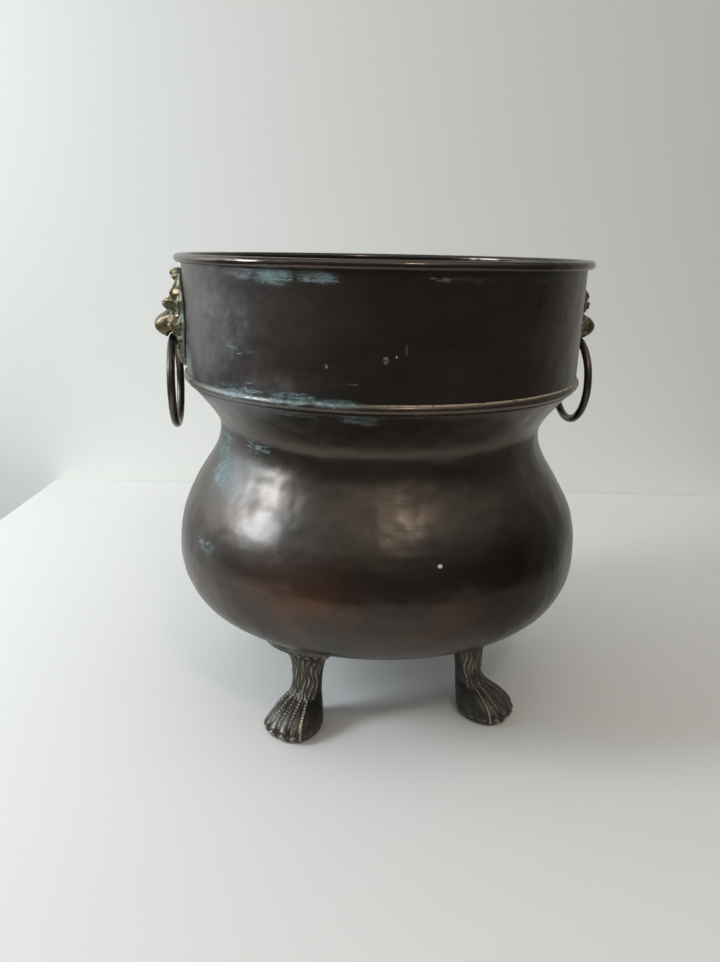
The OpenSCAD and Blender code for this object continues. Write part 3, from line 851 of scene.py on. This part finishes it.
STRAND_LIFT = 0.3


def mask_strand(places, thick, thin):
    """A strand through places on the mask, thick at its root and thin at its tip."""
    line = []
    for i, place in enumerate(places):
        radius = (thick + (thin - thick) * i / (len(places) - 1)) * mm
        where = on_mask(*place)
        outward = Vector((where.x, where.y, 0)).normalized()
        line.append((where + outward * radius * STRAND_LIFT, radius))
    return line


print("mouth at", [round(v / mm, 1) for v in mouth], "ring radius in mm:", round(ring_r / mm, 2))

# %% Lay the mane in two rows of locks
MANE_REACH = [28.5, 23.5, 22.5, 26.5, 29.5, 30.5, 30.3]
MASK_MIDDLE = 11
LOCKS = 12
LOCK_ROWS = [(0.66, 0.96, 0), (0.5, 0.76, math.pi / LOCKS)]
LOCK_SPREAD = math.radians(8.5)
LOCK_CURL = math.radians(9)


def mane_reach(turn):
    """Reach of the mane from the face's middle in millimetres, at a turn from the beard."""
    share = math.degrees(math.acos(math.cos(turn))) / 30
    i = min(int(share), len(MANE_REACH) - 2)
    return MANE_REACH[i] + (MANE_REACH[i + 1] - MANE_REACH[i]) * (share - i)


def lock(turn, first, last, spread):
    """One strand of a lock, bowed downwards on its way out."""
    places = []
    for t in steps(0, 1, 8):
        side = 1 if math.sin(turn) > 0 else -1
        lean = turn - side * LOCK_CURL * math.sin(math.pi * t) + spread * (1 - 0.75 * t)
        reach = mane_reach(lean) * (first + (last - first) * t)
        places.append((reach * math.sin(lean), MASK_MIDDLE - reach * math.cos(lean)))
    return mask_strand(places, 1.5, 0.75)


mane = []
for first, last, shift in LOCK_ROWS:
    for i in range(LOCKS):
        turn = 2 * math.pi * i / LOCKS + shift
        by_the_mouth = shift and math.cos(turn) > 0.5
        if not by_the_mouth:
            mane += [lock(turn, first, last, spread) for spread in (-LOCK_SPREAD, 0, LOCK_SPREAD)]
print("strands in the mane:", len(mane))

# %% Model the eyes, the brows, the nose and the beard
face = []
for side in (-1, 1):
    eye = mask_strand([(side * (8.4 + 2.4 * u), 21.2) for u in steps(-1, 1, 8)], 1, 1)
    face.append([(where, (0.3 + 1.7 * math.cos(math.pi / 2 * u)) * mm)
                 for (where, _), u in zip(eye, steps(-1, 1, 8))])
    upper = [(side * (8.4 + 3.7 * u), 20.9 + 2.5 * (1 - u * u)) for u in steps(-1, 1, 8)]
    lower = [(side * (8.4 + 3.5 * u), 20.7 - 2.1 * (1 - u * u)) for u in steps(-1, 1, 8)]
    brow = [(side * (3.4 + 11 * u), 23.6 + 3.6 * math.sin(math.pi * (0.1 + 0.7 * u)))
            for u in steps(0, 1, 8)]
    wing = [(side * (1.4 + 2.6 * u), 17.6 + 3.2 * math.sin(math.pi * u)) for u in steps(0, 1, 6)]
    jowl = [(side * (11.5 + 1.2 * math.sin(math.pi * u)), 13.5 - 13 * u) for u in steps(0, 1, 8)]
    face += [mask_strand(upper, 0.75, 0.6), mask_strand(lower, 0.6, 0.5),
             mask_strand(brow, 1.5, 0.9), mask_strand(wing, 0.9, 1.1), mask_strand(jowl, 0.9, 0.6)]
    for beside in (2.4, 5.4, 8.6):
        beard = [(side * (beside + 1.1 * math.sin(5 * u)), -6 - (12.5 - 0.5 * beside) * u)
                 for u in steps(0, 1, 8)]
        face.append(mask_strand(beard, 1.3, 0.6))
    for beside in (1.3, 4.2, 7.2):
        forelock = [(side * (beside + 1.5 * u), 27.5 + (8 - 0.5 * beside) * u) for u in steps(0, 1, 6)]
        face.append(mask_strand(forelock, 1.2, 0.7))
hair = strands("hair", mane + face)
mask = fuse("left_lion_mask", mask, hair)
as_clay(mask, 2)
print("faces after the second remesh:", len(mask.data.polygons))

# %% Cut the nostrils, the pupils, the ring's way and the fit to the wall
RING_PLAY = 0.4 * mm
WALL_PLAY = 0.1 * mm
MOUTH_HALF = 12.5 * mm


def pit(beside, above, radius, depth):
    """A short peg that stands in the surface. Cut out, it leaves a pit."""
    where = on_mask(beside, above)
    inward = Vector((-where.x, -where.y, 0)).normalized()
    return [(where - inward * 1.5 * mm, radius * mm), (where + inward * depth * mm, radius * mm)]


pits = [pit(side * 2.5, 18.7, 0.8, 1.6) for side in (-1, 1)]
pits += [pit(side * 8.6, 21.2, 0.6, 0.5) for side in (-1, 1)]
pits += [pit(side * beside, above, 0.35, 0.45)
         for side in (-1, 1) for beside, above in ((5, 9), (8, 9.6), (6.4, 6.2), (9.4, 6.6), (4.4, 12))]
carve(mask, strands("pits", pits))
mouth_line = [(mouth.x, -MOUTH_HALF, mouth.z)]
for y in steps(-MOUTH_HALF, MOUTH_HALF, 20):
    inside_ring = math.sqrt(ring_r ** 2 - y ** 2)
    mouth_line.append((mouth.x, y, mouth.z + rod_r + RING_PLAY + ring_r - inside_ring))
mouth_line.append((mouth.x, MOUTH_HALF, mouth.z))
carve(mask, spun("ring_way", mouth_line, mouth, (0, 1, 0), 48))
RING_UP = math.radians(165)
raised = mouth - ring_r * Vector((math.sin(RING_UP), 0, math.cos(RING_UP)))
bpy.ops.object.select_all(action="DESELECT")
bpy.ops.mesh.primitive_torus_add(
    major_radius=ring_r, minor_radius=rod_r + 0.3 * mm, major_segments=128, minor_segments=20,
    location=raised, rotation=(0, math.pi / 2 + RING_UP, 0))
carve(mask, settle(named("raised_ring")))
cut_low = mask_low.z - 4 * mm
cut_high = rim_z - 1.5 * mm
bpy.ops.object.select_all(action="DESELECT")
bpy.ops.mesh.primitive_cone_add(
    vertices=AROUND, depth=cut_high - cut_low, location=(0, 0, (cut_low + cut_high) / 2),
    radius1=radius_at("collar", mask_low.z) + WALL_PLAY,
    radius2=radius_at("collar", mask_high.z) + WALL_PLAY)
carve(mask, settle(named("wall_cut")))
print("mask box in mm:", [round(v / mm, 1) for v in mask.dimensions])

# %% Root its studs, and stand it on both sides
STUD_R = 2.5 * mm
STUD_END = 2.1 * mm
nut_low, nut_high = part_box("left_mask_nuts")
nut_points = [point.co.z for point in solids["left_mask_nuts"].data.vertices]
split = (nut_low.z + nut_high.z) / 2


def middle(values):
    return (min(values) + max(values)) / 2


def stud(place, turn, length):
    bpy.ops.object.select_all(action="DESELECT")
    bpy.ops.mesh.primitive_cylinder_add(
        vertices=32, radius=STUD_R, depth=length, location=place, rotation=turn)
    made = settle(named("stud"))
    return work(made, "BEVEL", width=0.5 * mm, segments=2)


stud_from = -wall_at_mouth - 1.5 * mm
stud_to = nut_high.x + STUD_END
studs = [stud(((stud_from + stud_to) / 2, 0, level), (0, math.pi / 2, 0), stud_to - stud_from)
         for level in (middle([z for z in nut_points if z < split]),
                       middle([z for z in nut_points if z > split]))]
feel_relief(mask)
mask = smooth(fuse("left_lion_mask", mask, *studs), 60)
right_lion = turned_copy(mask, "right_lion_mask", math.pi)

# %% [markdown]
# ## The rings
# Each ring is a rod bent round and brazed. A torus gives the round, a shallow waist at the
# seam shows where the ends meet, and soft clouds wear the rod a little uneven. The rod shows
# half a millimetre stouter all round than the solid's, as it looks in the photograph.

# %% Bend the rod and seam it
ring_middle = Vector((mouth.x, 0, mouth.z - ring_r))
bpy.ops.object.select_all(action="DESELECT")
bpy.ops.mesh.primitive_torus_add(
    major_radius=ring_r, minor_radius=rod_r, major_segments=160, minor_segments=28,
    location=ring_middle, rotation=(0, math.pi / 2, 0))
left_loop = settle(named("left_ring_handle"))
SEAM_TURN = math.radians(28)
seam_place = ring_middle + ring_r * Vector((0, math.sin(SEAM_TURN), -math.cos(SEAM_TURN)))
bpy.ops.object.mode_set(mode="EDIT")
bpy.ops.mesh.select_all(action="DESELECT")
bpy.ops.object.mode_set(mode="OBJECT")
for point in left_loop.data.vertices:
    out = point.co - ring_middle
    turn = math.atan2(out.y, -out.z)
    point.select = abs(turn - SEAM_TURN) < math.radians(1.2)
bpy.ops.object.mode_set(mode="EDIT")
bpy.ops.transform.resize(value=(0.86, 0.86, 0.86), center_override=seam_place)
bpy.ops.object.mode_set(mode="OBJECT")
wear = bpy.data.textures.new("wear", "CLOUDS")
wear.noise_scale = 6 * mm
work(left_loop, "DISPLACE", texture=wear, texture_coords="LOCAL", direction="NORMAL",
     mid_level=0, strength=-0.22 * mm)
smooth(left_loop, 50)
right_loop = turned_copy(left_loop, "right_ring_handle", math.pi)
print("ring across in mm:", round(left_loop.dimensions.z / mm, 1))

# %% [markdown]
# ## The paw feet
# The four feet come from one pattern, so one is modelled at bearing zero and its copies are
# turned to their places. On the copy of the solid, beaded strands of fur run down between the
# toes, wavy folds run up the leg, an arc marks each nail, and leaf veins spread under the
# flange to its ragged edge. The top is cut to the bowl's underside.

# %% Feel where the foot's surface is
def bearing_of(node):
    low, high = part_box(node)
    return math.atan2(low.y + high.y, low.x + high.x)


PATTERN = "back_right_foot"
turn_back = Matrix.Rotation(-bearing_of(PATTERN + "_nut"), 3, "Z")
foot = copy_of(PATTERN, "paw")
foot.rotation_euler.z = -bearing_of(PATTERN + "_nut")
foot = as_clay(settle(foot), 8)


def middle_of_box(node):
    low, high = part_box(node)
    return turn_back @ ((low + high) / 2)


foot_shell = shell_of(foot)
OUTWARDS = Vector((1, 0, 0))
UPWARDS = Vector((0, 0, 1))


def felt(start, towards, reach):
    """Where a ray meets the foot, or else the place on it that is nearest to the ray's end."""
    where = foot_shell.ray_cast(start, towards, reach)[0]
    return where or foot_shell.find_nearest(start + towards * reach)[0]


def on_foot(turn, height):
    """The foot's surface at a turn from its front, at a height."""
    toes = felt(OUTWARDS * 0.15 + UPWARDS * height, -OUTWARDS, 0.09)
    heel = felt(OUTWARDS * 0.03 + UPWARDS * height, OUTWARDS, 0.06)
    way = Vector((math.cos(turn), math.sin(turn), 0))
    return felt((toes + heel) / 2 + way * 30 * mm, -way, 26 * mm)


nut_middle = middle_of_box(PATTERN + "_nut")
stud_way = (nut_middle - middle_of_box(PATTERN + "_washer")).normalized()
LEG_OUT = nut_middle.x - stud_way.x / stud_way.z * (nut_middle.z - 48 * mm)
print("foot from a nut at", [round(v / mm, 1) for v in nut_middle], "leg at", round(LEG_OUT / mm, 1))

# %% Lay the fur, the folds and the nails
TOE_TURN = math.radians(24)
ANKLE = 22 * mm
LEG_TOP = 51 * mm

lines = []
for groove in (-2, -1, 0, 1, 2):
    fur = []
    for i, t in enumerate(steps(0, 1, 34)):
        size = 1.3 if i % 2 else 0.85
        turn = groove * TOE_TURN * (1 - 0.1 * t)
        fur.append((on_foot(turn, 3.2 * mm + (ANKLE - 3.2 * mm) * t), size * (1 - 0.25 * t) * mm))
    lines.append(fur)
for i, start in enumerate(steps(-2.8, 2.8, 9)):
    fold = []
    for t in steps(0, 1, 26):
        wave = 0.09 * math.sin(2 * math.pi * (1.6 * t + 0.08 * i))
        fold.append((on_foot(start * TOE_TURN + wave, ANKLE - 1 * mm + (LEG_TOP - ANKLE) * t),
                     (1.05 - 0.3 * abs(2 * t - 1)) * mm))
    lines.append(fold)
for toe in (-1.5, -0.5, 0.5, 1.5):
    nail = [(on_foot(toe * TOE_TURN + math.radians(5.6) * math.cos(a), (1.6 + 4.2 * math.sin(a)) * mm),
             0.5 * mm) for a in steps(0.1, math.pi - 0.1, 12)]
    lines.append(nail)
scroll = []
for t in steps(0, 1, 26):
    reach = 3.6 - 2.9 * t
    turn = 0.35 + 2.6 * math.pi * t
    beside = -0.35 + reach * math.cos(turn) / 8
    scroll.append((on_foot(beside, (46 + reach * math.sin(turn)) * mm), 0.62 * mm))
lines.append(scroll)
print("strands on the paw and the leg:", len(lines))

# %% Spread the leaf under the flange
FLANGE_FRONT = 27 * mm
FLANGE_HALF = 26.9 * mm
WING_REACH = [0.92, 1, 1, 0.72, 0.5, 0.46, 0.46]


def under_flange(turn, share):
    """The flange's underside at a turn from its front, at a share of its reach."""
    step = abs(math.degrees(turn)) / 30
    i = min(int(step), len(WING_REACH) - 2)
    reach = share * (WING_REACH[i] + (WING_REACH[i + 1] - WING_REACH[i]) * (step - i))
    ahead = reach * FLANGE_FRONT * math.cos(turn)
    aside = reach * FLANGE_HALF * math.sin(turn)
    return felt(Vector((LEG_OUT + ahead, aside, 34 * mm)), UPWARDS, 20 * mm)


for i in range(-8, 9):
    turn = math.radians(13 * i)
    vein = [(under_flange(turn + 0.05 * math.sin(5 * s + i), s), (0.7 + 0.9 * max(0, s - 0.7)) * mm)
            for s in steps(0.42, 0.98, 10)]
    lines.append(vein)
    edge = under_flange(turn, 0.985)
    lines.append([(edge + UPWARDS * lift * mm, 1.9 * mm) for lift in (0.6, 1.6, 2.6)])
fur = strands("fur", lines)
foot = fuse("paw", foot, fur)
as_clay(foot, 2)
print("foot box in mm:", [round(v / mm, 1) for v in foot.dimensions], len(foot.data.polygons), "faces")

# %% Cut the foot to the bowl and to the table, and root its stud
above_bowl = [(x, 0, z - WALL_PLAY) for x, y, z in bottom if x > 20 * mm]
outer = TURN_R + 12 * mm
above_bowl.append((outer, 0, underside_at("bowl", outer) - WALL_PLAY))
above_bowl = [(0, 0, above_bowl[0][2])] + above_bowl + [(outer, 0, 95 * mm), (0, 0, 95 * mm)]
carve(foot, spun("bowl_cut", above_bowl))
bpy.ops.object.select_all(action="DESELECT")
bpy.ops.mesh.primitive_cube_add(size=0.2, location=(nut_middle.x, 0, -0.1))
carve(foot, settle(named("table_cut")))
feel_relief(foot)
stud_middle = nut_middle - stud_way * 1.1 * mm
foot_stud = stud(stud_middle, stud_way.to_track_quat("Z", "Y").to_euler(), 10.4 * mm)
foot = smooth(fuse("paw", foot, foot_stud), 60)
FEET = ["front_left_foot", "front_right_foot", "back_left_foot", "back_right_foot"]
paws = [turned_copy(foot, node.replace("foot", "paw"), bearing_of(node + "_nut")) for node in FEET]
bpy.data.objects.remove(foot)
print("paws at", [round(math.degrees(bearing_of(node + "_nut")), 1) for node in FEET])

# %% [markdown]
# ## Finish: castings, rings and fittings
# The masks are brass gone olive, with verdigris left in their hollows. The feet are bronze,
# nearly black, with pale dirt on their carved ridges. The rings are dark and rubbed. Ridges
# and hollows come from the relief that was felt on each casting.

# %% Cast brass, cast bronze and the rest
def casting(name, light, dark, hollow, ridge, hollow_share, ridge_share, rough, step=0.35,
            edge_at=None):
    material, tree, shader = new_finish(name, 1.6)
    cloud = use(tree, tones, Size=60.0)
    colour = mixed(tree, ramped(tree, cloud["Broad"], 0.35, 0.65), dark, light)
    worn = use(tree, relief, Step=step)
    ridges = sums(tree, "MULTIPLY", worn["Ridges"], ridge_share)
    hollows = sums(tree, "MULTIPLY", worn["Hollows"], hollow_share)
    colour = mixed(tree, ridges, colour, ridge)
    if edge_at:
        flat = stretched(tree, place_on_piece(tree), (1, 1, 0))
        out = put(tree, "ShaderNodeVectorMath", {0: flat}, operation="LENGTH")
        reach = out.outputs["Value"]
        edge = ramped(tree, reach, edge_at + 2.4 * mm, edge_at + 1.2 * mm)
        edge = sums(tree, "MULTIPLY", edge, ramped(tree, reach, edge_at - 1 * mm, edge_at))
        hollows = sums(tree, "MAXIMUM", hollows, sums(tree, "MULTIPLY", edge, 0.8))
    colour = mixed(tree, hollows, colour, hollow)
    tree.links.new(colour, shader.inputs["Base Color"])
    grainy = sums(tree, "MULTIPLY_ADD", cloud["Fine"], 0.2, rough)
    tree.links.new(sums(tree, "MULTIPLY_ADD", hollows, 0.4, grainy), shader.inputs["Roughness"])
    tree.links.new(sums(tree, "MULTIPLY_ADD", hollows, -0.6, 0.65), shader.inputs["Metallic"])
    bumped(tree, shader, sums(tree, "MULTIPLY", cloud["Fine"], 0.12))
    return material


finish_mask = casting("olive_brass", srgb(108, 90, 54), srgb(72, 62, 42), srgb(138, 160, 154),
                      srgb(122, 108, 76), 0.9, 0.5, 0.24, edge_at=wall_at_mouth)
finish_foot = casting("dark_bronze", srgb(54, 49, 43), srgb(36, 34, 32), srgb(98, 86, 70),
                      srgb(162, 151, 127), 0.6, 0.78, 0.28)
finish_ring = casting("ring_bronze", srgb(82, 68, 58), srgb(48, 44, 41), srgb(90, 84, 74),
                      srgb(128, 104, 84), 0.0, 0.0, 0.2)
finish_wire = casting("iron_wire", srgb(70, 62, 56), srgb(50, 44, 40), srgb(90, 60, 40),
                      srgb(90, 84, 80), 0.0, 0.0, 0.5)
finish_brass = casting("brass_hardware", srgb(150, 124, 74), srgb(116, 96, 62), srgb(96, 110, 96),
                       srgb(176, 146, 88), 0.0, 0.0, 0.28)

for piece, node in ((mask, "left_mask"), (right_lion, "right_mask")):
    stands_for(painted(piece, finish_mask), "vessel", "cast_brass", node)
for piece, side in ((left_loop, "left"), (right_loop, "right")):
    stands_for(painted(piece, finish_ring), side + "_handle", "ring_bronze", side + "_ring")
for piece, node in zip(paws, FEET):
    stands_for(painted(piece, finish_foot), "vessel", "cast_bronze", node)
for name, solid in solids.items():
    if "bead" in name:
        painted(solid, finish_bead)
    if "wire" in name:
        painted(solid, finish_wire)
    if "washer" in name or "nut" in name:
        painted(solid, finish_brass)
